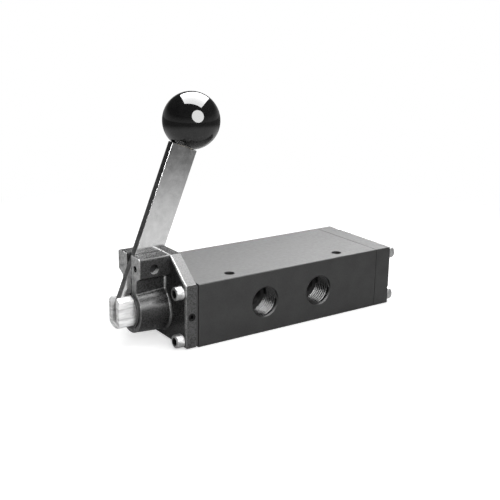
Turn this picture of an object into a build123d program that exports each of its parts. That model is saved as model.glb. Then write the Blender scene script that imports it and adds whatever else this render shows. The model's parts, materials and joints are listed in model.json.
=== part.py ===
from build123d import *
import os
from math import cos, radians, sqrt, tan

# Hand lever air valve, 5 ports and 2 positions, in millimetres.
# The origin is the centre of the body's underside. +X runs along the spool, from the
# lever to the end cap. +Y runs from the two outlet ports to the inlet and exhausts.

# Body block
body_length = 140.0
body_width = 65.0
body_height = 40.0
edge_break = 0.4
overcut = 1.0  # how far a cut runs past the face that it opens
face_window = 0.01  # how near an edge lies to the plane that it is picked by
spool_height = 20.0  # spool axis above the underside
bore_radius = 12.0

# Ports, threaded G1/2
port_radius = 9.32
port_depth = 15.0
port_mouth_chamfer = 0.8
passage_radius = 6.5

# Fixing holes straight down through the body
fixing_spacing = 85.0
fixing_radius = 3.3
fixing_edge = 9.0  # hole centre to the body's front face

# M5 socket head cap screws that hold the head and the end cap
screw_radius = 2.5
screw_clearance = 0.25
screw_edge = 5.0  # screw centre to the body's side, top and underside
screw_engagement = 12.0
thread_run_out = 1.0  # tapped hole past the screw's end
screw_head_radius = 4.25
screw_head_height = 5.0
screw_socket = 4.0  # across flats
screw_socket_depth = 2.6
thread_gap = 0.03

# Operator head: flange plate
head_plate = 7.5
head_gasket_thickness = 1.5
head_inset = 0.5  # flange edge inside the body's edge
gasket_inset = 1.0
ridge_height = 54.8
ridge_width = 27.5
flange_round = 1.5

# Operator head: round boss, web and the two ears
boss_length = 20.0
boss_tip_radius = 14.5
boss_root_radius = 15.6
web_width = 17.0
ear_underside = 43.0
ear_bevel = 3.0
cast_fillet = 1.6
ear_round = 1.5  # along the ears' outer top edges

# Lever and its pivot
pivot_reach = 19.45  # pivot axis to the body's end
pivot_height = 47.6
pivot_radius = 3.0
pivot_recess = 3.0
running_gap = 0.05
lever_lean = 22.0  # degrees from upright, towards the end cap
lever_width = 18.0
lever_thickness = 5.0
lever_side_gap = 0.4
lever_stop_gap = 0.2
lever_top = 74.8  # pivot to the shoulder under the knob
lever_tail = 33.0  # pivot to the forked end
tail_round = 5.0
fork_gap = 0.3  # beside the clevis pin, for the arc that the fork makes
tang_radius = 4.0
tang_length = 15.0

# Ball knob
knob_radius = 17.5
knob_base = 16.0  # ball centre to the flat underside
insert_radius = 6.5
insert_length = 18.0
insert_flange = 0.6

# Clevis on the spool's outer end
clevis_radius = 10.0
clevis_end = 9.2  # pin axis to the outer end
clevis_flats = 13.0  # across flats
clevis_flat_length = 13.0
clevis_slot_depth = 6.0  # slot floor below the spool axis
clevis_slot_gap = 1.0  # leaning lever to the slot's inner end
clevis_pin_radius = 2.0
clevis_chamfer = 0.6
slide_gap = 0.05

# Wiper ring in the boss mouth
wiper_radius = 11.7
wiper_seat = 2.2
wiper_stand = 0.8
wiper_split = 7.4

# Spool
spool_radius = 8.0
spool_neck_radius = 5.0
spool_chamfer = 0.6
stud_radius = 4.0
stud_length = 9.0

# Seal rings and the pieces between them
seal_count = 6
seal_width = 4.0
end_bush_length = 14.875  # guides the spool at each end of the body
land_opening = 5.5  # what a neck uncovers beside a seal
cage_wall = 2.2
cage_window_length = 10.0
cage_window_width = 6.0
stack_gap = 0.05
bearing_length = 6.0
bearing_relief = 0.5
clevis_pocket_gap = 0.3

# End cap
cap_thickness = 12.5
cap_gasket_thickness = 0.5
cap_gasket_inset = 0.4
cap_pocket_radius = 9.0
cap_pocket_depth = 6.0
bumper_radius = 8.9
bumper_length = 5.3
bumper_gap = 0.3  # to the spool's end, with the lever upright

# Detent: grub screw, spring and ball across the flange
detent_reach = 4.5  # detent axis to the body's end
detent_shoulder = 3.0  # detent axis to the clevis's inner end
detent_ball_radius = 2.0
detent_lift = 1.0  # ball's rise from a groove to the clevis surface
detent_bore_gap = 0.1
detent_screw_radius = 2.5
detent_screw_length = 5.5
detent_screw_recess = 0.4
detent_wire_radius = 0.35
detent_coil_radius = 1.5
detent_coils = 5
grub_socket = 2.5  # across flats
grub_socket_depth = 2.2

# Grub screw that locks the pivot pin
lock_radius = 2.0
lock_recess = 0.5
lock_socket = 2.0  # across flats
lock_inboard = 6.1  # screw axis to the ear's outer side

# Places that follow from the sizes above
head_end = -body_length / 2
cap_end = body_length / 2
flange_inner = head_end - head_gasket_thickness
flange_outer = flange_inner - head_plate
boss_tip = flange_outer - boss_length
cap_inner = cap_end + cap_gasket_thickness
cap_outer = cap_inner + cap_thickness
front = -body_width / 2
web_top = ear_underside - ear_bevel
pivot_x = head_end - pivot_reach
fork_drop = pivot_height - spool_height
stroke = fork_drop * tan(radians(lever_lean))
bumper_face = cap_inner + cap_pocket_depth - bumper_length
spool_end = bumper_face - bumper_gap - stroke  # with the lever leaning
pin_x = pivot_x - stroke
clevis_tip = pin_x - clevis_end
lever_reach = lever_width / 2 / cos(radians(lever_lean)) + clevis_radius * tan(radians(lever_lean))
slot_inner = pin_x + lever_reach + clevis_slot_gap
detent_x = head_end - detent_reach
clevis_root = detent_x + detent_shoulder
slot_width = lever_thickness + 2 * lever_side_gap
port_pitch = (body_length - seal_width - 2 * end_bush_length) / (seal_count - 1)
front_port_xs = [-port_pitch, port_pitch]
back_port_xs = [-2 * port_pitch, 0, 2 * port_pitch]
seal_xs = [(index - (seal_count - 1) / 2) * port_pitch for index in range(seal_count)]
screw_y = body_width / 2 - screw_edge
screw_zs = [screw_edge, body_height - screw_edge]


def rod_x(radius, start, end, y=0.0, z=spool_height):
    """Round bar along X."""
    return Pos((start + end) / 2, y, z) * Rot(0, 90, 0) * Cylinder(radius, end - start)


def rod_y(radius, start, end, x, z):
    """Round bar along Y."""
    return Pos(x, (start + end) / 2, z) * Rot(90, 0, 0) * Cylinder(radius, end - start)


def taper_x(start_radius, end_radius, start, end):
    """Cone frustum along the spool axis."""
    cone = Cone(start_radius, end_radius, end - start)
    return Pos((start + end) / 2, 0, spool_height) * Rot(0, 90, 0) * cone


def taper_y(start_radius, end_radius, start, end, x, z):
    """Cone frustum along Y."""
    cone = Cone(end_radius, start_radius, end - start)
    return Pos(x, (start + end) / 2, z) * Rot(90, 0, 0) * cone


def ring_x(outer, inner, start, end):
    """Plain ring around the spool axis."""
    return rod_x(outer, start, end) - rod_x(inner, start - overcut, end + overcut)


def plate_x(points, start, thickness):
    """Plate with an outline of (y, z) points, thick along X."""
    return extrude(Plane.YZ.offset(start) * Polygon(*points, align=None), thickness)


def body_outline(inset):
    """Section of the body, drawn in by an inset all round."""
    side = body_width / 2 - inset
    top = body_height - inset
    return [(-side, inset), (side, inset), (side, top), (-side, top)]


def hexagon(across_flats, depth):
    """Hexagon prism that hangs down from Z = 0."""
    return extrude(RegularPolygon(across_flats / sqrt(3), 6), -depth)


def screw_places():
    """Centres (y, z) of the four screws of an end."""
    return [(side * screw_y, z) for side in (-1, 1) for z in screw_zs]


def screw_holes(radius, start, end):
    """Round bars where the four screws of an end pass."""
    return [rod_x(radius, start, end, y, z) for y, z in screw_places()]


def socket_screw(length):
    """Cap screw along Z, with the underside of its head at Z = 0."""
    head = Pos(0, 0, screw_head_height / 2) * Cylinder(screw_head_radius, screw_head_height)
    head -= Pos(0, 0, screw_head_height) * hexagon(screw_socket, screw_socket_depth)
    return head + Pos(0, 0, -length / 2) * Cylinder(screw_radius, length)


def screw_set(face, turn, grip):
    """Four cap screws that clamp a cover of the given grip at one end."""
    screw = Rot(0, turn, 0) * socket_screw(grip + screw_engagement)
    return Compound([Pos(face, y, z) * screw for y, z in screw_places()])


def grub_screw(radius, length, across_flats):
    """Headless screw that hangs down from Z = 0."""
    shank = Pos(0, 0, -length / 2) * Cylinder(radius, length)
    return shank - hexagon(across_flats, grub_socket_depth)


def port_cut(x, side):
    """Threaded port with its mouth on one long side of the body."""
    mouth = side * body_width / 2
    floor = mouth - side * port_depth
    wide = port_radius + port_mouth_chamfer
    inner = mouth - side * port_mouth_chamfer
    tapped = rod_y(port_radius, min(mouth, floor), max(mouth, floor), x, spool_height)
    passage = rod_y(passage_radius, min(floor, 0), max(floor, 0), x, spool_height)
    if side < 0:
        flare = taper_y(wide, port_radius, mouth, inner, x, spool_height)
    else:
        flare = taper_y(port_radius, wide, inner, mouth, x, spool_height)
    return tapped + passage + flare


def valve_body():
    block = Pos(0, 0, body_height / 2) * Box(body_length, body_width, body_height)
    block = chamfer(block.edges().filter_by(Axis.X), edge_break)
    block -= rod_x(bore_radius, head_end, cap_end)
    for x in front_port_xs:
        block -= port_cut(x, -1)
    for x in back_port_xs:
        block -= port_cut(x, 1)
    for side in (-1, 1):
        place = Pos(side * fixing_spacing / 2, front + fixing_edge, body_height / 2)
        block -= place * Cylinder(fixing_radius, body_height)
    tapped = screw_radius + thread_gap
    depth = screw_engagement + thread_run_out
    block -= screw_holes(tapped, head_end, head_end + depth)
    block -= screw_holes(tapped, cap_end - depth, cap_end)
    return block


def gable_outline():
    """Outline of the flange: upright sides, sloping shoulders and a level ridge."""
    side = body_width / 2 - head_inset
    ridge = ridge_width / 2
    return [
        (-side, head_inset),
        (side, head_inset),
        (side, body_height),
        (ridge, ridge_height),
        (-ridge, ridge_height),
        (-side, body_height),
    ]


def ear_outline():
    """Section of the web and the ears above it, down into the boss."""
    web = web_width / 2
    ear = ridge_width / 2
    return [
        (-web, spool_height),
        (web, spool_height),
        (web, web_top),
        (ear, ear_underside),
        (ear, ridge_height),
        (-ear, ridge_height),
        (-ear, ear_underside),
        (-web, web_top),
    ]


def lever_slot():
    """Gap that the lever swings in, open at the boss tip and at the top."""
    half = lever_width / 2
    lean = radians(lever_lean)
    upright_wall = pivot_x + half + lever_stop_gap
    leaning_wall = pivot_x + (half + lever_stop_gap) / cos(lean)
    bend_z = pivot_height + (upright_wall - leaning_wall) / tan(lean)
    open_x = boss_tip - overcut
    top_z = ridge_height + overcut
    top_x = leaning_wall + (top_z - pivot_height) * tan(lean)
    outline = [
        (open_x, spool_height),
        (upright_wall, spool_height),
        (upright_wall, bend_z),
        (top_x, top_z),
        (open_x, top_z),
    ]
    face = Plane.XZ * Polygon(*outline, align=None)
    return extrude(face, slot_width / 2, both=True)


def head_casting():
    """Flange, boss, web and ears in one casting, before machining."""
    flange = plate_x(gable_outline(), flange_outer, head_plate)
    flange = fillet(flange.faces().sort_by(Axis.X)[0].edges(), flange_round)
    boss = taper_x(boss_tip_radius, boss_root_radius, boss_tip, flange_outer)
    ears = plate_x(ear_outline(), boss_tip, boss_length)
    neck = boss + ears
    beside_web = neck.edges().filter_by_position(Axis.Z, spool_height, web_top - cast_fillet)
    creases = [edge for edge in beside_web if edge.length > boss_length / 2]
    neck = fillet(creases, cast_fillet)
    crowns = neck.edges().filter_by(Axis.X).group_by(Axis.Z)[-1]
    casting = flange + fillet(crowns, ear_round)
    below_ears = casting.edges().filter_by_position(Axis.Z, 0, ear_underside)
    root = below_ears.filter_by_position(
        Axis.X, flange_outer - face_window, flange_outer + face_window
    )
    return fillet([edge for edge in root if edge.geom_type != GeomType.LINE], cast_fillet)


def operator_head():
    head = head_casting()
    head -= rod_x(clevis_radius + slide_gap, boss_tip, flange_inner)
    head -= rod_x(wiper_radius, boss_tip, boss_tip + wiper_seat)
    head -= lever_slot()
    head -= rod_y(pivot_radius, -ridge_width / 2, ridge_width / 2, pivot_x, pivot_height)
    head -= rod_x(lock_radius, boss_tip, pivot_x, lock_inboard - ridge_width / 2, pivot_height)
    head -= screw_holes(screw_radius + screw_clearance, flange_outer, flange_inner)
    screw_floor = front + head_inset + detent_screw_recess + detent_screw_length
    spring_bore = detent_ball_radius + detent_bore_gap
    head -= rod_y(spring_bore, screw_floor, 0, detent_x, spool_height)
    head -= rod_y(detent_screw_radius, front, screw_floor, detent_x, spool_height)
    return head


def head_gasket():
    gasket = plate_x(body_outline(gasket_inset), flange_inner, head_gasket_thickness)
    gasket -= rod_x(bore_radius, flange_inner, head_end)
    return gasket - screw_holes(screw_radius + screw_clearance, flange_inner, head_end)


def end_cap():
    cap = plate_x(body_outline(0), cap_inner, cap_thickness)
    cap = chamfer(cap.faces().sort_by(Axis.X)[-1].edges(), edge_break)
    cap = chamfer(cap.edges().filter_by(Axis.X), edge_break)
    cap -= rod_x(cap_pocket_radius, cap_inner, cap_inner + cap_pocket_depth)
    return cap - screw_holes(screw_radius + screw_clearance, cap_inner, cap_outer)


def end_cap_gasket():
    gasket = plate_x(body_outline(cap_gasket_inset), cap_end, cap_gasket_thickness)
    gasket -= rod_x(cap_pocket_radius, cap_end, cap_inner)
    return gasket - screw_holes(screw_radius + screw_clearance, cap_end, cap_inner)


def end_bumper():
    """Rubber stop in the end cap that the spool comes up to."""
    return rod_x(bumper_radius, bumper_face, bumper_face + bumper_length)


def spool():
    """Three necks between four lands, with a stud that screws into the clevis."""
    half_seal = seal_width / 2
    half_stroke = stroke / 2
    inner_neck = port_pitch / 2 + half_seal - half_stroke + land_opening
    outer_seal = seal_xs[-2]
    outer_near = outer_seal - half_seal + half_stroke - land_opening
    outer_far = outer_seal + half_seal + half_stroke + land_opening
    necks = [(-outer_far, -outer_near), (-inner_neck, inner_neck), (outer_near, outer_far)]
    shaft = rod_x(spool_radius, clevis_root, spool_end)
    shaft = chamfer(shaft.edges().group_by(Axis.X)[-1], spool_chamfer)
    for start, end in necks:
        shaft -= ring_x(
            spool_radius + overcut, spool_neck_radius, start - half_stroke, end - half_stroke
        )
    return shaft + rod_x(stud_radius, clevis_root - stud_length, clevis_root)


def spool_seal(x):
    """Ring that seals between the bore and the spool."""
    half = seal_width / 2 - stack_gap
    return ring_x(bore_radius, spool_radius + slide_gap, x - half, x + half)


def port_cage(x):
    """Spacer between two seals, with windows that let the air through."""
    half = (port_pitch - seal_width) / 2
    cage = ring_x(bore_radius, bore_radius - cage_wall, x - half, x + half)
    for turn in (0, 90):
        window = Box(cage_window_length, cage_window_width, 2 * (bore_radius + overcut))
        cage -= Pos(x, 0, spool_height) * Rot(turn, 0, 0) * window
    return cage


def head_spacer():
    """Bush that guides the spool and leaves room for the clevis at the head end."""
    end = seal_xs[0] - seal_width / 2
    bush = ring_x(bore_radius, spool_radius + slide_gap, head_end, end)
    pocket_end = clevis_root + stroke + clevis_pocket_gap
    return bush - rod_x(clevis_radius + clevis_pocket_gap, head_end, pocket_end)


def cap_spacer():
    """Bush that guides the spool at the end cap."""
    start = seal_xs[-1] + seal_width / 2
    bush = ring_x(bore_radius, spool_radius + slide_gap, start, cap_end)
    relief = spool_radius + bearing_relief
    return bush - rod_x(relief, start + bearing_length, cap_end)


def detent_groove(x):
    """Square-cornered V groove round the clevis that the detent ball drops into."""
    ball_axis = clevis_radius - detent_lift + detent_ball_radius
    apex = ball_axis - (detent_ball_radius + slide_gap) * sqrt(2)
    half = clevis_radius + overcut - apex
    outline = [(x - half, apex + half), (x, apex), (x + half, apex + half)]
    groove = revolve(Plane.XZ * Polygon(*outline, align=None), Axis.X)
    return Pos(0, 0, spool_height) * groove


def clevis():
    body = rod_x(clevis_radius, clevis_tip, clevis_root)
    body = chamfer(body.edges().group_by(Axis.X)[0], clevis_chamfer)
    flat_depth = clevis_radius - clevis_flats / 2
    flat_x = clevis_tip + clevis_flat_length / 2
    for side in (-1, 1):
        flat_y = side * (clevis_flats + flat_depth) / 2
        body -= Pos(flat_x, flat_y, spool_height) * Box(
            clevis_flat_length, flat_depth, 2 * clevis_radius
        )
    slot_length = slot_inner - clevis_tip
    slot_height = clevis_slot_depth + clevis_radius
    slot_z = spool_height - clevis_slot_depth + slot_height / 2
    body -= Pos(clevis_tip + slot_length / 2, 0, slot_z) * Box(
        slot_length, slot_width, slot_height
    )
    body -= rod_y(clevis_pin_radius, -clevis_radius, clevis_radius, pin_x, spool_height)
    body -= rod_x(stud_radius, clevis_root - stud_length, clevis_root)
    for x in (detent_x, detent_x - stroke):
        body -= detent_groove(x)
    return body


def clevis_pin():
    half = clevis_flats / 2
    return rod_y(clevis_pin_radius, -half, half, pin_x, spool_height)


def lever():
    """Flat bar with a fork for the clevis pin and a threaded tang for the knob."""
    bar = Pos(0, (lever_top - lever_tail) / 2) * Rectangle(lever_width, lever_top + lever_tail)
    bar = fillet(bar.vertices().group_by(Axis.Y)[0], tail_round)
    fork_radius = clevis_pin_radius + fork_gap
    bar -= Pos(0, -fork_drop) * Circle(fork_radius)
    bar -= Pos(0, -(fork_drop + lever_tail) / 2) * Rectangle(
        2 * fork_radius, lever_tail - fork_drop
    )
    bar -= Circle(pivot_radius + running_gap)
    blade = extrude(Plane.XZ * bar, lever_thickness / 2, both=True)
    tang = Pos(0, 0, lever_top + tang_length / 2) * Cylinder(tang_radius, tang_length)
    tang &= Pos(0, 0, lever_top) * Box(lever_width, lever_thickness, 2 * tang_length)
    return lever_place() * (blade + tang)


def lever_place():
    """Place of the lever's pieces, which are drawn upright about the pivot."""
    return Pos(pivot_x, 0, pivot_height) * Rot(0, lever_lean, 0)


def knob_centre():
    return lever_top + knob_base


def knob():
    """Ball with a flat underside and a hole for its insert."""
    ball = Pos(0, 0, knob_centre()) * Sphere(knob_radius)
    below = Pos(0, 0, lever_top - knob_radius) * Box(
        2 * knob_radius, 2 * knob_radius, 2 * knob_radius
    )
    hole = Pos(0, 0, lever_top + insert_length / 2) * Cylinder(insert_radius, insert_length)
    return lever_place() * (ball - below - hole)


def knob_insert():
    sleeve = Pos(0, 0, lever_top + insert_length / 2) * Cylinder(insert_radius, insert_length)
    depth = tang_length + insert_flange
    hole = Pos(0, 0, lever_top + depth / 2) * Cylinder(tang_radius + thread_gap, depth)
    return lever_place() * (sleeve - hole)


def pivot_pin():
    half = ridge_width / 2 - pivot_recess
    pin = rod_y(pivot_radius, -half, half, pivot_x, pivot_height)
    return chamfer(pin.edges().filter_by(GeomType.CIRCLE), edge_break)


def pivot_set_screw():
    start = boss_tip + lock_recess
    length = pivot_x - pivot_radius - start
    screw = Rot(0, -90, 0) * grub_screw(lock_radius, length, lock_socket)
    return Pos(start, lock_inboard - ridge_width / 2, pivot_height) * screw


def wiper_ring():
    """Rubber ring that wipes the clevis, split at the top for the lever."""
    outer = boss_tip - wiper_stand
    inner = boss_tip + wiper_seat
    ring = ring_x(wiper_radius, clevis_radius + slide_gap, outer, inner)
    split = Box(2 * (inner - outer), wiper_split, wiper_radius)
    return ring - Pos(boss_tip, 0, spool_height + wiper_radius) * split


def detent_screw():
    outer = front + head_inset + detent_screw_recess
    screw = Rot(90, 0, 0) * grub_screw(detent_screw_radius, detent_screw_length, grub_socket)
    return Pos(detent_x, outer, spool_height) * screw


def detent_ball_y():
    return detent_lift - clevis_radius - detent_ball_radius


def detent_ball():
    return Pos(detent_x, detent_ball_y(), spool_height) * Sphere(detent_ball_radius)


def detent_spring():
    """Coil spring between the grub screw and the ball."""
    start = front + head_inset + detent_screw_recess + detent_screw_length
    start += detent_wire_radius
    end = detent_ball_y() - detent_ball_radius - detent_wire_radius
    pitch = (end - start) / detent_coils
    helix = Helix(pitch, end - start, detent_coil_radius)
    section = RegularPolygon(detent_wire_radius, 6)
    wire = sweep(Plane(helix @ 0, z_dir=helix % 0) * section, helix)
    return Pos(detent_x, start, spool_height) * Rot(-90, 0, 0) * wire


def parts():
    made = {
        "valve_body": valve_body(),
        "operator_head": operator_head(),
        "head_gasket": head_gasket(),
        "head_screws": screw_set(flange_outer, -90, head_plate + head_gasket_thickness),
        "end_cap": end_cap(),
        "end_cap_gasket": end_cap_gasket(),
        "end_cap_screws": screw_set(cap_outer, 90, cap_thickness + cap_gasket_thickness),
        "end_bumper": end_bumper(),
        "head_spacer": head_spacer(),
        "cap_spacer": cap_spacer(),
        "spool": spool(),
        "clevis": clevis(),
        "clevis_pin": clevis_pin(),
        "wiper_ring": wiper_ring(),
        "lever": lever(),
        "knob": knob(),
        "knob_insert": knob_insert(),
        "pivot_pin": pivot_pin(),
        "pivot_set_screw": pivot_set_screw(),
        "detent_screw": detent_screw(),
        "detent_spring": detent_spring(),
        "detent_ball": detent_ball(),
    }
    for index, x in enumerate(seal_xs):
        made[f"spool_seal_{index + 1}"] = spool_seal(x)
    for number, x in zip((3, 2, 1, 4, 5), sorted(front_port_xs + back_port_xs)):
        made[f"port_cage_{number}"] = port_cage(x)
    return made


os.makedirs("parts", exist_ok=True)
for name, shape in parts().items():
    export_step(shape, f"parts/{name}.step")
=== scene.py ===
import bmesh
import bpy
import json
from math import cos, pi, radians, sin, tau
from mathutils import Matrix, Vector

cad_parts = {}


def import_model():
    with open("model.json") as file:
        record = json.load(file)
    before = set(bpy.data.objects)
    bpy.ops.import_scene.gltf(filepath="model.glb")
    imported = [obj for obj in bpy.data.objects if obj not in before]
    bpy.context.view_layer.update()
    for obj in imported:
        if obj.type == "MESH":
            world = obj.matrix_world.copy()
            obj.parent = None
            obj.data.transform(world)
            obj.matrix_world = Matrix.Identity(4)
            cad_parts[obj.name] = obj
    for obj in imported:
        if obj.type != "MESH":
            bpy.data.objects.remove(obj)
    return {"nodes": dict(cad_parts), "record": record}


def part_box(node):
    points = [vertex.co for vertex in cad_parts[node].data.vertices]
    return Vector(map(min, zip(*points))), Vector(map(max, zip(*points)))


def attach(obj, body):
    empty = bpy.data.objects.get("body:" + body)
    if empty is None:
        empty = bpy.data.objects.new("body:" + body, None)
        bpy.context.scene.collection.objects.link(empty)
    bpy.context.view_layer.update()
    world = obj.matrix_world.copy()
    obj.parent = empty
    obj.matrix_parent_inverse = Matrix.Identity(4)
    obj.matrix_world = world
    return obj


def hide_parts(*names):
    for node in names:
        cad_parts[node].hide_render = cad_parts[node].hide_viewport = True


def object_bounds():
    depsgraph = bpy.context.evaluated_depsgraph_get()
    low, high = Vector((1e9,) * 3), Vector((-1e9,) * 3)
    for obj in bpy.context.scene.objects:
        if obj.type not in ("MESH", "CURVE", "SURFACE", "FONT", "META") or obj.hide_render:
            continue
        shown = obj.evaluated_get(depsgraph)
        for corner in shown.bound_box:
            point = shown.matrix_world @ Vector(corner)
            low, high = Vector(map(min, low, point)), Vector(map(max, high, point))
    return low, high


# Looks of the hand lever air valve, in metres. Lengths written in millimetres are times MM.
MM = 0.001

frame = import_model()
cad_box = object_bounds()
nodes = frame["nodes"]

# Camera
CAMERA_PLACE = Vector((-338.7, -471.3, 212.2)) * MM
CAMERA_AZIMUTH = radians(-34.807)
CAMERA_ELEVATION = radians(16.321)
CAMERA_ROLL = radians(0.937)
CAMERA_LENS = 66.02
CAMERA_SENSOR = 36.0
CAMERA_CLIP = (0.01, 20)

# Lamps. Each is a pair: one shows in gloss, and one behind it lights the surfaces.
LIGHT_CENTRE = Vector((-55, 0, 132)) * MM  # the ball knob, which mirrors both lamps
LIGHT_GAP = 0.02
GLOSSY_RADIANCE = 16.0

# World, with the brightness 1 of plain white
SKY_FILL = 0.25  # for light that is neither seen nor mirrored
SKY_GLOSS_LOW = 0.35  # mirrored at the horizon
SKY_GLOSS_HIGH = 0.05  # mirrored overhead
SKY_HEIGHT = 0.35  # Z of the direction above which the sky counts as overhead

# Floor, which is lit paper round the object and a plain glow further out
FLOOR_RADIUS = 4.0
FLOOR_STEPS = 96
FLOOR_DROP = 0.3 * MM
PAPER_WHITE = 0.8
PAPER_ROUGHNESS = 0.9
PAPER_LIFT = 0.6  # added to the eye alone, so that the paper is as white as the glow
GLOW_START = 0.14
GLOW_FULL = 0.4
GLOW_FILL = 0.6  # for light that is neither seen nor mirrored
GLOW_GLOSS_NEAR = 0.85
GLOW_GLOSS_FAR = 0.12
GLOW_GLOSS_START = 0.12
GLOW_GLOSS_END = 0.62

# Meshes
WELD = 0.002 * MM
FLAT_ANGLE = radians(0.2)  # faces that meet at less are one
ROUND_ANGLE = radians(32)  # edges sharper than this are rounded
SMOOTH_ANGLE = radians(30)  # edges sharper than this stay sharp in the shading
BLOCK_ROUND = 0.15 * MM
CASTING_ROUND = 0.3 * MM
LEVER_ROUND = 0.5 * MM
CLEVIS_ROUND = 0.2 * MM

# Cap screws M5
SCREW_HEAD_RADIUS = 4.25 * MM
SCREW_HEAD_HEIGHT = 5.0 * MM
SCREW_RADIUS = 2.5 * MM
SCREW_POINT = 0.5 * MM  # chamfer at the threaded end
SCREW_TURN = radians(37)  # each screw's socket stands turned from the one before
HEAD_FOOT = 0.3 * MM  # underside of the head, in from its rim
HEAD_ROUND = (  # points of the rounded top: down from the top and in from the rim
    (0.6 * MM, 0.08 * MM), (0.22 * MM, 0.3 * MM), (0, 0.7 * MM),
)
KNURL_TEETH = 36
KNURL_DEPTH = 0.16 * MM
KNURL_START = 0.25 * MM  # above the underside
KNURL_END = 0.9 * MM  # below the top
SOCKET_WIDTH = 4.0 * MM  # across flats
SOCKET_DEPTH = 2.6 * MM
SOCKET_MOUTH = 0.15 * MM  # the mouth's rim, out from the hexagon's corners
SOCKET_CHAMFER = 0.2 * MM
SOCKET_CONE = 0.6 * MM  # drilled point below the floor
SOCKET_TIP = 0.4 * MM
SOCKET_RINGS = 4  # last rings of a screw, from the socket's mouth to its floor, which take black_steel as painted shade

# Port threads G1/2
THREAD_INNER = 9.2 * MM
THREAD_ROOT = 10.4 * MM
THREAD_HALF = 0.78 * MM  # half the groove's width at the inner radius
THREAD_FLOOR = 0.15 * MM  # half the groove's width at its root
THREAD_PITCH = 1.814 * MM
THREAD_START = 0.5 * MM  # in from the mouth
THREAD_END = 1.0 * MM  # short of the end
THREAD_STEPS = 48
THREAD_REACH = 0.1 * MM  # faces this far past the root still belong to the thread

# Patterns
NOISE_ROUGHNESS = 0.55
NOISE_MIDDLE = (0.3, 0.7)  # between these lies nearly all of a noise
BLOTCH_MIDDLE = (0.35, 0.65)  # the same for the mean of two noises
BLOTCH_SPREAD = 9  # how many times larger the broad blotches are than the fine ones

# Operator head casting
SKIN = 0.15 * MM  # depth of the bare outer end and of the milled sides
EDGE_TILT = (-0.97, -0.25)  # X of the normals on a worn edge
EDGE_SIDEWAYS = 0.2  # least Y of those normals, either way
PAINTED_LIGHT_HEIGHTS = (32 * MM, 42 * MM)  # painted shade on the bare metal gives way to painted light over these heights
BORE_REACH = 0.1 * MM
BORE_WALL = -0.3  # least Y of the normals in the pin's bore, which leaves out the front
BORE_PAINTED_LIGHT = -2 * MM  # below the pin's axis, where the painted light on the bore's wall is full

# Lever
LEVER_FACE = 0.9  # least Y of the normals on its broad faces, either way


# ---------------------------------------------------------------- materials


class Shading:
    """Short ways to add and link the nodes of a material or a world."""

    # First input, second input and output of a Mix node
    MIX_SOCKETS = {"FLOAT": (2, 3, 0), "RGBA": (6, 7, 2)}

    def __init__(self, owner):
        owner.use_nodes = True
        self.tree = owner.node_tree

    def node(self, kind, **settings):
        made = self.tree.nodes.new(kind)
        for key, value in settings.items():
            setattr(made, key, value)
        return made

    def link(self, source, target):
        self.tree.links.new(source, target)

    def feed(self, socket, value):
        """Sets a socket to a number or a colour, or links another socket to it."""
        if isinstance(value, (int, float)):
            socket.default_value = value
        elif isinstance(value, tuple):
            socket.default_value = (*value, 1)
        else:
            self.link(value, socket)

    def coordinates(self, kind):
        return self.node("ShaderNodeTexCoord").outputs[kind]

    def part(self, vector, name):
        """X, Y or Z of a vector."""
        made = self.node("ShaderNodeSeparateXYZ")
        self.link(vector, made.inputs["Vector"])
        return made.outputs[name]

    def between(self, value, start, end, low, high, **settings):
        """Runs from low to high while the value goes from start to end."""
        made = self.node("ShaderNodeMapRange", **settings)
        numbers = {"From Min": start, "From Max": end, "To Min": low, "To Max": high}
        for name, number in numbers.items():
            made.inputs[name].default_value = number
        self.link(value, made.inputs["Value"])
        return made.outputs["Result"]

    def math(self, operation, *values):
        made = self.node("ShaderNodeMath", operation=operation)
        for socket, value in zip(made.inputs, values):
            self.feed(socket, value)
        return made.outputs["Value"]

    def mix(self, mask, first, second, kind="FLOAT"):
        """Value first where the mask is 0 and second where it is 1."""
        made = self.node("ShaderNodeMix", data_type=kind)
        one, two, result = self.MIX_SOCKETS[kind]
        self.link(mask, made.inputs["Factor"])
        self.feed(made.inputs[one], first)
        self.feed(made.inputs[two], second)
        return made.outputs[result]

    def blend(self, mask, first, second):
        """Colour first where the mask is 0 and second where it is 1."""
        return self.mix(mask, first, second, kind="RGBA")


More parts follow.
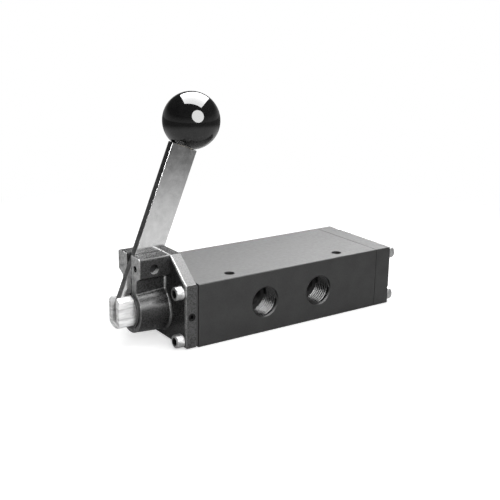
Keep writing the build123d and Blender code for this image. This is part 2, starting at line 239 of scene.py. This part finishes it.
class Finish(Shading):
    """A Principled material with patterns laid over the object's own coordinates."""

    def __init__(self, name, colour, roughness, metallic=0.0):
        self.material = bpy.data.materials.new(name)
        super().__init__(self.material)
        self.shader = self.tree.nodes["Principled BSDF"]
        self.feed(self.shader.inputs["Base Color"], colour)
        self.constant(Roughness=roughness, Metallic=metallic)
        self.place = self.coordinates("Object")

    def constant(self, **sockets):
        """Values that are the same all over, set on the shader itself."""
        for name, value in sockets.items():
            self.shader.inputs[name.replace("_", " ")].default_value = value

    def put(self, name, value):
        self.link(value, self.shader.inputs[name])

    def noise(self, size, detail=4.0, stretch=(1, 1, 1)):
        """Noise from 0 to 1 with blobs of about the given size."""
        mapping = self.node("ShaderNodeMapping")
        mapping.inputs["Scale"].default_value = stretch
        self.link(self.place, mapping.inputs["Vector"])
        made = self.node("ShaderNodeTexNoise")
        made.inputs["Scale"].default_value = 1 / size
        made.inputs["Detail"].default_value = detail
        made.inputs["Roughness"].default_value = NOISE_ROUGHNESS
        self.link(mapping.outputs["Vector"], made.inputs["Vector"])
        return made.outputs["Fac"]

    def spread(self, pattern, low, high, start=NOISE_MIDDLE[0], end=NOISE_MIDDLE[1]):
        """Maps start..end of a pattern, by default the middle of a noise, to low..high."""
        return self.between(pattern, start, end, low, high, clamp=True)

    def axis(self, name):
        """One coordinate of the object's own space."""
        return self.part(self.place, name)

    def facing(self, name):
        """One component of the surface normal in the object's own space."""
        return self.part(self.coordinates("Normal"), name)

    def bump(self, height, depth, strength=1.0):
        made = self.node("ShaderNodeBump")
        made.inputs["Distance"].default_value = depth
        made.inputs["Strength"].default_value = strength
        self.link(height, made.inputs["Height"])
        self.put("Normal", made.outputs["Normal"])

    def mottled(self, dark, light, size, broad_size=None):
        """Colour that drifts between two greys in soft blotches."""
        broad_noise = self.noise(broad_size or BLOTCH_SPREAD * size, detail=2.0)
        broad = self.math("MULTIPLY", broad_noise, 0.5)
        fine = self.math("MULTIPLY", self.noise(size, detail=6.0), 0.5)
        mask = self.spread(self.math("ADD", broad, fine), 0, 1, *BLOTCH_MIDDLE)
        return self.blend(mask, grey(dark), grey(light))

    def drift(self, greys, blotch, roughness, patch):
        """Lets the grey drift in blotches, and the roughness in patches of another size."""
        self.put("Base Color", self.mottled(*greys, blotch))
        self.put("Roughness", self.spread(self.noise(patch), *roughness))


def grey(value):
    return (value, value, value)


def anodised_body():
    """Black anodised aluminium with a fine satin grain."""
    made = Finish("anodised_body", grey(0.03), 0.36)
    made.drift(greys=(0.018, 0.03), blotch=1.2 * MM, roughness=(0.34, 0.44), patch=2.5 * MM)
    made.bump(made.noise(0.35 * MM, detail=3.0), 0.012 * MM, 0.6)
    made.constant(IOR=1.42)
    return made.material


def pin_bore(made):
    """Masks of the bore over the pivot pin, and of the lower half of its wall, which gets painted
    light.
    """
    low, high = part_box("pivot_pin")
    across = made.math("SUBTRACT", made.axis("X"), (low.x + high.x) / 2)
    above = made.math("SUBTRACT", made.axis("Z"), (low.z + high.z) / 2)
    squares = made.math("ADD", made.math("POWER", across, 2), made.math("POWER", above, 2))
    radius = (high.z - low.z) / 2 + BORE_REACH
    near = made.math("LESS_THAN", made.math("SQRT", squares), radius)
    wall = made.math("GREATER_THAN", made.facing("Y"), BORE_WALL)
    return made.math("MULTIPLY", near, wall), made.spread(above, 0, 1, 0, BORE_PAINTED_LIGHT)


def bare_metal(made, outer_end):
    """Mask of a casting's bare outer end and of its edges that are worn bare."""
    end = made.math("LESS_THAN", made.axis("X"), outer_end + SKIN)
    tilt = made.facing("X")
    steep, slight = EDGE_TILT
    tilted = made.math(
        "MULTIPLY", made.math("LESS_THAN", tilt, slight), made.math("GREATER_THAN", tilt, steep)
    )
    turned = made.math("ABSOLUTE", made.facing("Y"))
    sideways = made.math("GREATER_THAN", turned, EDGE_SIDEWAYS)
    return made.math("MAXIMUM", end, made.math("MULTIPLY", tilted, sideways))


def head_casting():
    """Black painted die casting: bare on its outer end, worn at the edges, milled at the sides,
    with painted shade and painted light on the bare metal and in the pin's bore.
    """
    low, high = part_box("operator_head")
    made = Finish("head_casting", grey(0.03), 0.3)
    bare = bare_metal(made, low.x)
    bore, lit = pin_bore(made)
    off_centre = made.math("ABSOLUTE", made.axis("Y"))
    milled = made.math("GREATER_THAN", off_centre, high.y - SKIN)
    painted = made.mottled(0.012, 0.03, 0.9 * MM)
    paint = made.blend(milled, painted, made.mottled(0.045, 0.07, 0.9 * MM))
    # Painted shade low on the bare metal and painted light higher up, blended by height.
    dull = made.mottled(0.05, 0.22, 0.7 * MM, 3 * MM)
    bright = made.mottled(0.15, 0.6, 0.6 * MM, 2.5 * MM)
    metal = made.blend(made.spread(made.axis("Z"), 0, 1, *PAINTED_LIGHT_HEIGHTS), dull, bright)
    skin = made.blend(bare, paint, metal)
    # In the pin's bore: painted shade above the pin's axis and painted light below it.
    made.put("Base Color", made.blend(bore, skin, made.blend(lit, grey(0.05), grey(0.95))))
    made.put("Metallic", made.math("MAXIMUM", bare, made.math("MULTIPLY", bore, 0.3)))
    gloss = made.spread(made.noise(0.9 * MM), 0.2, 0.36)
    rubbed = made.spread(made.noise(0.6 * MM), 0.34, 0.55)
    made.put("Roughness", made.mix(bare, gloss, rubbed))
    made.bump(made.noise(0.8 * MM), 0.03 * MM, 0.8)
    made.constant(IOR=1.42)
    return made.material


def gasket():
    """Matte black gasket paper."""
    made = Finish("gasket", grey(0.012), 0.7)
    made.put("Base Color", made.mottled(0.008, 0.018, 0.4 * MM))
    made.bump(made.noise(0.3 * MM), 0.02 * MM)
    return made.material


def rubber():
    """Black rubber of the seals, the bumper and the wiper ring."""
    made = Finish("rubber", grey(0.015), 0.55)
    made.drift(greys=(0.01, 0.022), blotch=0.8 * MM, roughness=(0.45, 0.65), patch=1.0 * MM)
    made.bump(made.noise(0.25 * MM), 0.01 * MM)
    return made.material


def plated(name, greys, roughness, size, stretch=(1, 1, 1)):
    """Plated metal whose brightness and polish drift a little."""
    made = Finish(name, grey(greys[1]), roughness[0], 1.0)
    blotch = made.noise(size, detail=5.0, stretch=stretch)
    made.put("Base Color", made.blend(made.spread(blotch, 0, 1), *map(grey, greys)))
    made.put("Roughness", made.spread(made.noise(0.6 * size, stretch=stretch), *roughness))
    made.bump(made.noise(0.3 * size, detail=2.0, stretch=stretch), 0.004 * MM, 0.5)
    return made.material


def zinc_screws():
    """Zinc plate of the cap screws."""
    return plated("zinc_screws", greys=(0.28, 0.52), roughness=(0.28, 0.42), size=0.9 * MM)


def black_steel():
    """Black oxide, dull enough to stay black; in the cap screws' sockets it is painted shade."""
    made = Finish("black_steel", grey(0.01), 0.45)
    made.drift(greys=(0.006, 0.014), blotch=0.5 * MM, roughness=(0.4, 0.55), patch=0.8 * MM)
    made.constant(IOR=1.35, Specular_IOR_Level=0.2)
    return made.material


def bright_steel():
    """Ground steel, dull enough to stay light in a recess."""
    made = Finish("bright_steel", grey(0.75), 0.4, 0.35)
    made.drift(greys=(0.62, 0.85), blotch=0.8 * MM, roughness=(0.34, 0.46), patch=0.8 * MM)
    return made.material


def spool_steel():
    """Polished steel, drawn along the spool."""
    return plated(
        "spool_steel", greys=(0.5, 0.7), roughness=(0.12, 0.24), size=2.0 * MM, stretch=(6, 1, 1)
    )


def clevis_plated():
    """Dull white zinc plate, with painted reflections as light and dark streaks along the clevis.
    """
    made = Finish("clevis_plated", grey(0.85), 0.4, 0.3)
    # The light and dark streaks along the clevis are painted reflections.
    drawn = made.noise(1.6 * MM, detail=2.0, stretch=(0.12, 0.3, 1))
    painted_reflection_streaks = made.spread(drawn, 0, 1, 0.38, 0.6)
    made.put("Base Color", made.blend(painted_reflection_streaks, grey(0.62), grey(0.95)))
    made.put("Roughness", made.spread(made.noise(1.5 * MM), 0.34, 0.5))
    made.bump(made.noise(0.6 * MM, detail=3.0), 0.012 * MM, 0.6)
    return made.material


def lever_plated():
    """Bright plated bar, with its narrow sides dark, darker towards the knob and lighter towards
    the foot.
    """
    low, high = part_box("lever")
    made = Finish("lever_plated", grey(0.8), 0.14, 1.0)
    side = made.math("LESS_THAN", made.math("ABSOLUTE", made.facing("Y")), LEVER_FACE)
    face = made.blend(made.spread(made.noise(4 * MM, detail=5.0), 0, 1), grey(0.68), grey(0.82))
    near_foot = made.spread(made.axis("Z"), 1, 0, low.z, high.z)
    top_edge = made.mottled(0.015, 0.06, 0.7 * MM)
    edge = made.blend(near_foot, top_edge, made.mottled(0.12, 0.4, 0.7 * MM))
    made.put("Base Color", made.blend(side, face, edge))
    polish = made.spread(made.noise(5 * MM), 0.1, 0.2)
    made.put("Roughness", made.mix(side, polish, 0.4))
    made.bump(made.noise(3 * MM, detail=2.0), 0.01 * MM, 0.5)
    return made.material


def knob_plastic():
    """Polished black phenolic."""
    made = Finish("knob_plastic", grey(0.01), 0.04)
    made.drift(greys=(0.006, 0.012), blotch=3 * MM, roughness=(0.03, 0.07), patch=6 * MM)
    made.bump(made.noise(9 * MM, detail=1.0), 0.01 * MM, 0.3)
    made.constant(IOR=1.52)
    return made.material


def insert_brass():
    """Dull brass."""
    made = Finish("insert_brass", (0.3, 0.22, 0.1), 0.4, 1.0)
    worn = made.spread(made.noise(1.5 * MM), 0, 1)
    made.put("Base Color", made.blend(worn, (0.2, 0.15, 0.08), (0.4, 0.3, 0.16)))
    return made.material


def bearing():
    """Turned aluminium of the cages and spacers, painted dark grey as the shade inside the ports.
    """
    made = Finish("bearing", grey(0.1), 0.45)
    made.drift(greys=(0.08, 0.13), blotch=1.0 * MM, roughness=(0.4, 0.55), patch=1.2 * MM)
    return made.material


def tapped_thread():
    """Anodised threads, shinier on their cut flanks than the block."""
    made = Finish("tapped_thread", grey(0.06), 0.28, 1.0)
    made.drift(greys=(0.05, 0.085), blotch=0.8 * MM, roughness=(0.24, 0.34), patch=1.0 * MM)
    return made.material


FINISHES = {
    maker.__name__: maker()
    for maker in (
        anodised_body, head_casting, gasket, rubber, zinc_screws, black_steel, bright_steel,
        spool_steel, clevis_plated, lever_plated, knob_plastic, insert_brass, bearing,
        tapped_thread,
    )
}


def dress_frame():
    """Gives every CAD node the finish of its material slot."""
    for node in nodes.values():
        for index, material in enumerate(node.data.materials):
            node.data.materials[index] = FINISHES[material.name]


# ---------------------------------------------------------------- mesh tools


def place_object(name, data):
    """Adds an object with the given mesh, lamp or camera to the scene."""
    made = bpy.data.objects.new(name, data)
    bpy.context.scene.collection.objects.link(made)
    return made


def to_mesh(name, work, *slots):
    """Turns a bmesh into a mesh with the finishes of the slots, and frees it."""
    mesh = bpy.data.meshes.new(name)
    work.to_mesh(mesh)
    work.free()
    for slot in slots:
        mesh.materials.append(FINISHES[slot])
    return mesh


def settled(obj):
    """Applies the modifiers of an object to its mesh."""
    depsgraph = bpy.context.evaluated_depsgraph_get()
    final = bpy.data.meshes.new_from_object(obj.evaluated_get(depsgraph))
    obj.modifiers.clear()
    obj.data = final
    return obj


def stand_in(name, node, slot):
    """A welded copy of a CAD node that is shown in its place."""
    work = bmesh.new()
    work.from_mesh(nodes[node].data)
    bmesh.ops.remove_doubles(work, verts=work.verts, dist=WELD)
    bmesh.ops.dissolve_limit(work, angle_limit=FLAT_ANGLE, verts=work.verts, edges=work.edges)
    made = place_object(name, to_mesh(name, work, slot))
    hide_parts(node)
    return made


def soften(obj, width):
    """Rounds the sharp edges of a piece."""
    bevel = obj.modifiers.new("rounds", "BEVEL")
    bevel.width = width
    bevel.segments = 2
    bevel.limit_method = "ANGLE"
    bevel.angle_limit = ROUND_ANGLE
    return settled(obj)


def smooth(obj):
    """Shades a piece smooth between its edges."""
    obj.data.polygons.foreach_set("use_smooth", [True] * len(obj.data.polygons))
    obj.data.set_sharp_from_angle(angle=SMOOTH_ANGLE)
    weighted = obj.modifiers.new("flat faces", "WEIGHTED_NORMAL")
    weighted.keep_sharp = True
    return obj


def loft(work, rings, second=None):
    """Closed skin over rings of equal count, in the second material from a given ring on."""
    loops = [[work.verts.new(point) for point in ring] for ring in rings]
    for step, (lower, upper) in enumerate(zip(loops, loops[1:])):
        for index in range(len(lower)):
            after = (index + 1) % len(lower)
            face = work.faces.new((lower[index], lower[after], upper[after], upper[index]))
            face.material_index = int(second is not None and step >= second)
    work.faces.new(reversed(loops[0]))
    work.faces.new(loops[-1]).material_index = int(second is not None)


# ---------------------------------------------------------------- pieces


def dressed_piece(name, node, slot, body, width):
    """A CAD node shown with its sharp edges rounded."""
    made = soften(stand_in(name, node, slot), width)
    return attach(smooth(made), body)


def hexagon_radius(angle, across):
    """Distance from the centre of a hexagon to its side, along an angle."""
    return across / 2 / cos((angle + pi / 6) % (pi / 3) - pi / 6)


def screw_rings(length):
    """Rings of a cap screw along Z, with the underside of its head at Z = 0."""
    angles = [tau * index / (2 * KNURL_TEETH) for index in range(2 * KNURL_TEETH)]
    top = SCREW_HEAD_HEIGHT
    floor_z = top - SOCKET_DEPTH

    def ring(z, radius_at):
        return [
            Vector((radius_at(index) * cos(angle), radius_at(index) * sin(angle), z))
            for index, angle in enumerate(angles)
        ]

    def round_ring(z, radius):
        return ring(z, lambda index: radius)

    def knurl_ring(z):
        return ring(z, lambda index: SCREW_HEAD_RADIUS - (index % 2) * KNURL_DEPTH)

    def hex_ring(z):
        return ring(z, lambda index: hexagon_radius(angles[index], SOCKET_WIDTH))

    return [
        round_ring(-length, SCREW_RADIUS - SCREW_POINT),
        round_ring(-length + SCREW_POINT, SCREW_RADIUS),
        round_ring(0, SCREW_RADIUS),
        round_ring(0, SCREW_HEAD_RADIUS - HEAD_FOOT),
        knurl_ring(KNURL_START),
        knurl_ring(top - KNURL_END),
        *(round_ring(top - down, SCREW_HEAD_RADIUS - inwards) for down, inwards in HEAD_ROUND),
        round_ring(top, SOCKET_WIDTH / 3 ** 0.5 + SOCKET_MOUTH),
        hex_ring(top - SOCKET_CHAMFER),
        hex_ring(floor_z),
        round_ring(floor_z - SOCKET_CONE, SOCKET_TIP),
    ]


def cap_screws(name, node, outward):
    """The four screws of one end, which point out along -X or +X."""
    low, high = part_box(node)
    length = high.x - low.x - SCREW_HEAD_HEIGHT
    face = high.x - SCREW_HEAD_HEIGHT if outward > 0 else low.x + SCREW_HEAD_HEIGHT
    work = bmesh.new()
    for index, (y, z) in enumerate((y, z) for y in (low.y, high.y) for z in (low.z, high.z)):
        centre = Vector((face, y, z))
        centre.y += SCREW_HEAD_RADIUS if y == low.y else -SCREW_HEAD_RADIUS
        centre.z += SCREW_HEAD_RADIUS if z == low.z else -SCREW_HEAD_RADIUS
        aim = Matrix.Rotation(outward * pi / 2, 4, "Y")
        place = Matrix.Translation(centre) @ (aim @ Matrix.Rotation(index * SCREW_TURN, 4, "Z"))
        rings = [[place @ point for point in ring] for ring in screw_rings(length)]
        loft(work, rings, len(rings) - SOCKET_RINGS)
    bmesh.ops.recalc_face_normals(work, faces=work.faces)
    # The sockets take black_steel: painted shade in place of the zinc.
    made = smooth(place_object(name, to_mesh(name, work, "zinc_screws", "black_steel")))
    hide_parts(node)
    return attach(made, "valve")


def ports():
    """Centre, outward axis and length of each port's tapped wall, as the record gives them."""
    mounts = [mount for mount in frame["record"]["mounts"] if mount["kind"] == "threaded_hole"]
    return [
        (Vector(mount["pos_m"]), Vector(mount["axis"]), mount["dims"]["length_mm"] * MM)
        for mount in mounts
    ]


def thread_rings(centre, axis, length):
    """Rings of a V groove that winds round a port's axis, in from its mouth."""
    mouth = centre + axis * length / 2
    count = int((length - THREAD_START - THREAD_END) / THREAD_PITCH * THREAD_STEPS)
    section = (
        (THREAD_INNER, -THREAD_HALF), (THREAD_ROOT, -THREAD_FLOOR),
        (THREAD_ROOT, THREAD_FLOOR), (THREAD_INNER, THREAD_HALF),
    )
    rings = []
    for index in range(count + 1):
        angle = tau * index / THREAD_STEPS
        depth = THREAD_START + THREAD_PITCH * index / THREAD_STEPS
        out = Vector((cos(angle), 0, sin(angle)))
        rings.append(
            [mouth - axis * (depth + along) + out * radius for radius, along in section]
        )
    return rings


def thread_cutter():
    """The grooves of all ports, to be cut out of the block."""
    work = bmesh.new()
    for centre, axis, length in ports():
        loft(work, thread_rings(centre, axis, length))
    bmesh.ops.recalc_face_normals(work, faces=work.faces)
    return place_object("thread_cutter", to_mesh("thread_cutter", work))


def tapped_walls(mesh):
    """Gives the threads in the ports their own finish, the mesh's second."""
    for face in mesh.polygons:
        for centre, axis, length in ports():
            away = face.center - centre
            along = away.dot(axis)
            radius = (away - axis * along).length
            if abs(along) < length / 2 and radius < THREAD_ROOT + THREAD_REACH:
                face.material_index = 1


def threaded_body():
    """The body block with threads cut into its ports."""
    made = soften(stand_in("body_block", "valve_body", "anodised_body"), BLOCK_ROUND)
    made.data.materials.append(FINISHES["tapped_thread"])
    cutter = thread_cutter()
    cut = made.modifiers.new("threads", "BOOLEAN")
    cut.object = cutter
    cut.solver = "EXACT"
    settled(made)
    bpy.data.objects.remove(cutter)
    tapped_walls(made.data)
    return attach(smooth(made), "valve")


# ---------------------------------------------------------------- stage


def camera():
    """The camera at the photograph's viewing angle."""
    data = bpy.data.cameras.new("camera")
    data.lens = CAMERA_LENS
    data.sensor_width = CAMERA_SENSOR
    data.clip_start, data.clip_end = CAMERA_CLIP
    flat = cos(CAMERA_ELEVATION)
    back = Vector(
        (sin(CAMERA_AZIMUTH) * flat, -cos(CAMERA_AZIMUTH) * flat, sin(CAMERA_ELEVATION))
    )
    level = Vector((cos(CAMERA_AZIMUTH), sin(CAMERA_AZIMUTH), 0))
    upright = back.cross(level)
    right = level * cos(CAMERA_ROLL) + upright * sin(CAMERA_ROLL)
    up = upright * cos(CAMERA_ROLL) - level * sin(CAMERA_ROLL)
    turn = Matrix((right, up, back)).transposed().to_4x4()
    made = place_object("camera", data)
    made.matrix_world = Matrix.Translation(CAMERA_PLACE) @ turn
    bpy.context.scene.camera = made


def area_light(name, shape, width, height, place, out, across, radiance):
    """Soft lamp at a place seen from the knob: its back points out, its width lies across."""
    area = width * height * (pi / 4 if shape == "DISK" else 1)
    out = Vector(out).normalized()
    side = (Vector(across) - out * Vector(across).dot(out)).normalized()
    turn = Matrix((side, out.cross(side), out)).transposed().to_4x4()
    for kind, level, behind in (("glossy", GLOSSY_RADIANCE, 0), ("diffuse", radiance, LIGHT_GAP)):
        data = bpy.data.lights.new(f"{name} {kind}", "AREA")
        data.shape = shape
        data.size = width
        if shape == "RECTANGLE":
            data.size_y = height
        data.energy = level * area * pi
        made = place_object(data.name, data)
        centre = LIGHT_CENTRE + Vector(place) + out * behind
        made.matrix_world = Matrix.Translation(centre) @ turn
        made.visible_camera = False
        made.visible_diffuse = kind == "diffuse"
        made.visible_glossy = kind == "glossy"


def lights():
    """Two lamps, each where the knob mirrors it in the photograph."""
    area_light(
        "window panel", "RECTANGLE", width=1.46, height=1.08,
        place=(0.249, 0.398, 0.794), out=(0.464, -0.091, 0.854),
        across=(0.485, 0.857, -0.172), radiance=1.7,
    )
    area_light(
        "front umbrella", "DISK", width=0.78, height=0.78,
        place=(-0.040, -0.830, 0.346), out=(-0.044, -0.922, 0.384),
        across=(1, 0, 0), radiance=3.0,
    )


def world():
    """White to the eye, darker in gloss and overhead, with a low even fill."""
    made = bpy.data.worlds.new("studio")
    bpy.context.scene.world = made
    sky = Shading(made)
    background = sky.tree.nodes["Background"]
    path = sky.node("ShaderNodeLightPath").outputs
    height = sky.part(sky.coordinates("Generated"), "Z")
    mirrored = sky.between(
        height, 0.0, SKY_HEIGHT, SKY_GLOSS_LOW, SKY_GLOSS_HIGH, interpolation_type="SMOOTHSTEP"
    )
    gloss = sky.mix(path["Is Glossy Ray"], SKY_FILL, mirrored)
    through = sky.mix(path["Is Transmission Ray"], gloss, 1.0)
    sky.link(sky.mix(path["Is Camera Ray"], through, 1.0), background.inputs["Strength"])
    sky.feed(background.inputs["Color"], grey(1))


def paper():
    """White paper: lit round the object, plain white to the eye, darker in gloss further out."""
    material = bpy.data.materials.new("paper")
    made = Shading(material)
    path = made.node("ShaderNodeLightPath").outputs
    length = made.node("ShaderNodeVectorMath", operation="LENGTH")
    made.link(made.coordinates("Object"), length.inputs[0])
    away = length.outputs["Value"]

    sheet = made.tree.nodes["Principled BSDF"]
    made.feed(sheet.inputs["Base Color"], grey(PAPER_WHITE))
    made.feed(sheet.inputs["Roughness"], PAPER_ROUGHNESS)
    made.feed(sheet.inputs["Specular IOR Level"], 0.0)
    made.feed(sheet.inputs["Emission Color"], grey(1))
    lift = made.mix(path["Is Camera Ray"], 0.0, PAPER_LIFT)
    made.link(lift, sheet.inputs["Emission Strength"])

    glow = made.node("ShaderNodeEmission")
    mirrored = made.between(
        away, GLOW_GLOSS_START, GLOW_GLOSS_END, GLOW_GLOSS_NEAR, GLOW_GLOSS_FAR,
        interpolation_type="SMOOTHSTEP",
    )
    gloss = made.mix(path["Is Glossy Ray"], GLOW_FILL, mirrored)
    made.link(made.mix(path["Is Camera Ray"], gloss, 1.0), glow.inputs["Strength"])

    join = made.node("ShaderNodeMixShader")
    fade = made.between(away, GLOW_START, GLOW_FULL, 0, 1, interpolation_type="SMOOTHSTEP")
    made.link(fade, join.inputs["Fac"])
    made.link(sheet.outputs[0], join.inputs[1])
    made.link(glow.outputs[0], join.inputs[2])
    made.link(join.outputs[0], made.tree.nodes["Material Output"].inputs["Surface"])
    return material


def floor():
    """The floor, just below the object."""
    work = bmesh.new()
    bmesh.ops.create_circle(work, cap_ends=True, radius=FLOOR_RADIUS, segments=FLOOR_STEPS)
    mesh = to_mesh("floor", work)
    mesh.materials.append(paper())
    made = place_object("floor", mesh)
    made.location.z = cad_box[0].z - FLOOR_DROP


threaded_body()
dressed_piece("head_block", "operator_head", "head_casting", "valve", CASTING_ROUND)
dressed_piece("cap_block", "end_cap", "anodised_body", "valve", BLOCK_ROUND)
dressed_piece("lever_bar", "lever", "lever_plated", "lever", LEVER_ROUND)
dressed_piece("clevis_block", "clevis", "clevis_plated", "spool", CLEVIS_ROUND)
cap_screws("head_cap_screws", "head_screws", -1)
cap_screws("end_cap_cap_screws", "end_cap_screws", 1)

dress_frame()
camera()
world()
floor()
lights()
bpy.context.scene.view_settings.view_transform = "Standard"
